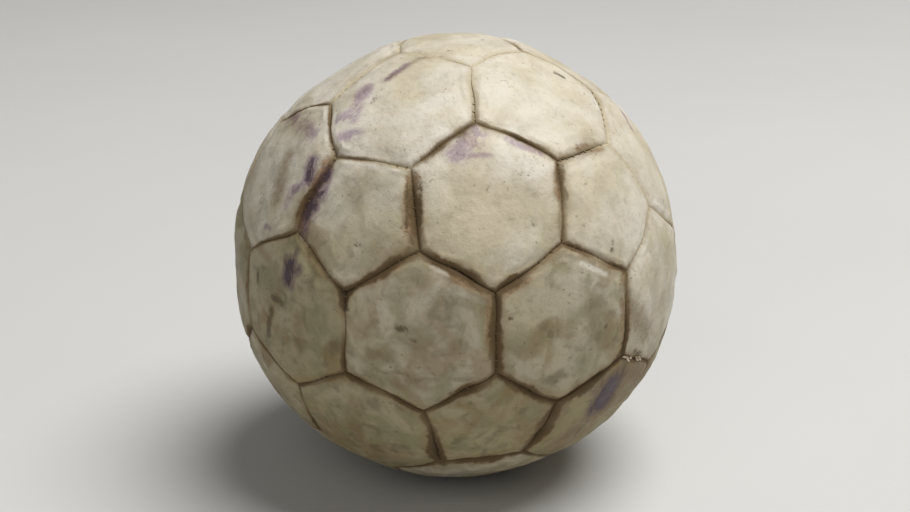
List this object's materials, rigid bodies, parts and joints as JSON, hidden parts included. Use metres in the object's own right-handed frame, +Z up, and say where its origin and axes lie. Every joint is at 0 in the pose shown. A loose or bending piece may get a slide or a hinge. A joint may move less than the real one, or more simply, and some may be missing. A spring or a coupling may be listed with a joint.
{
  "type": "deflated soccer ball",
  "caption": "Worn, dirty hand-stitched soccer ball of pentagon and hexagon panels, gone soft, resting on a small flat spot, with its bladder and valve inside.",
  "frame": {"origin": "middle of the flat spot that the ball rests on, straight below the middle of the ball", "axes": "+Z up through the middle of the top pentagon; -Y passes through the hexagon between the two front upper pentagons; the valve is at the back right, 54 degrees from +X towards +Y"},
  "size_m": [0.2156, 0.2176, 0.2158],
  "materials": {
    "hexagon_cover": "worn cream synthetic leather, scuffed and stained brown along the seams",
    "pentagon_cover": "worn cream synthetic leather with traces of faded purple print",
    "thread": "waxed thread, dark with dirt",
    "bladder": "smooth rubber, slightly slack",
    "backing": "glued cloth patch",
    "valve": "moulded rubber"
  },
  "bodies": {
    "root": {"top_pentagon": "pentagon_cover", "upper_pentagon_1": "pentagon_cover", "upper_pentagon_2": "pentagon_cover", "upper_pentagon_3": "pentagon_cover", "upper_pentagon_4": "pentagon_cover", "upper_pentagon_5": "pentagon_cover", "lower_pentagon_1": "pentagon_cover", "lower_pentagon_2": "pentagon_cover", "lower_pentagon_3": "pentagon_cover", "lower_pentagon_4": "pentagon_cover", "lower_pentagon_5": "pentagon_cover", "base_pentagon": "pentagon_cover", "crown_hexagon_1": "hexagon_cover", "crown_hexagon_2": "hexagon_cover", "crown_hexagon_3": "hexagon_cover", "crown_hexagon_4": "hexagon_cover", "crown_hexagon_5": "hexagon_cover", "upper_hexagon_1": "hexagon_cover", "upper_hexagon_2": "hexagon_cover", "upper_hexagon_3": "hexagon_cover", "upper_hexagon_4": "hexagon_cover", "upper_hexagon_5": "hexagon_cover", "middle_hexagon_1": "hexagon_cover", "middle_hexagon_2": "hexagon_cover", "middle_hexagon_3": "hexagon_cover", "middle_hexagon_4": "hexagon_cover", "middle_hexagon_5": "hexagon_cover", "middle_hexagon_6": "hexagon_cover", "middle_hexagon_7": "hexagon_cover", "middle_hexagon_8": "hexagon_cover", "middle_hexagon_9": "hexagon_cover", "middle_hexagon_10": "hexagon_cover", "lower_hexagon_1": "hexagon_cover", "lower_hexagon_2": "hexagon_cover", "lower_hexagon_3": "hexagon_cover", "lower_hexagon_4": "hexagon_cover", "lower_hexagon_5": "hexagon_cover", "foot_hexagon_1": "hexagon_cover", "foot_hexagon_2": "hexagon_cover", "foot_hexagon_3": "hexagon_cover", "foot_hexagon_4": "hexagon_cover", "foot_hexagon_5": "hexagon_cover", "seam_thread": "thread", "bladder": "bladder", "valve_patch": "backing", "valve_housing": "valve", "valve_core": "valve"}
  },
  "joints": []
}
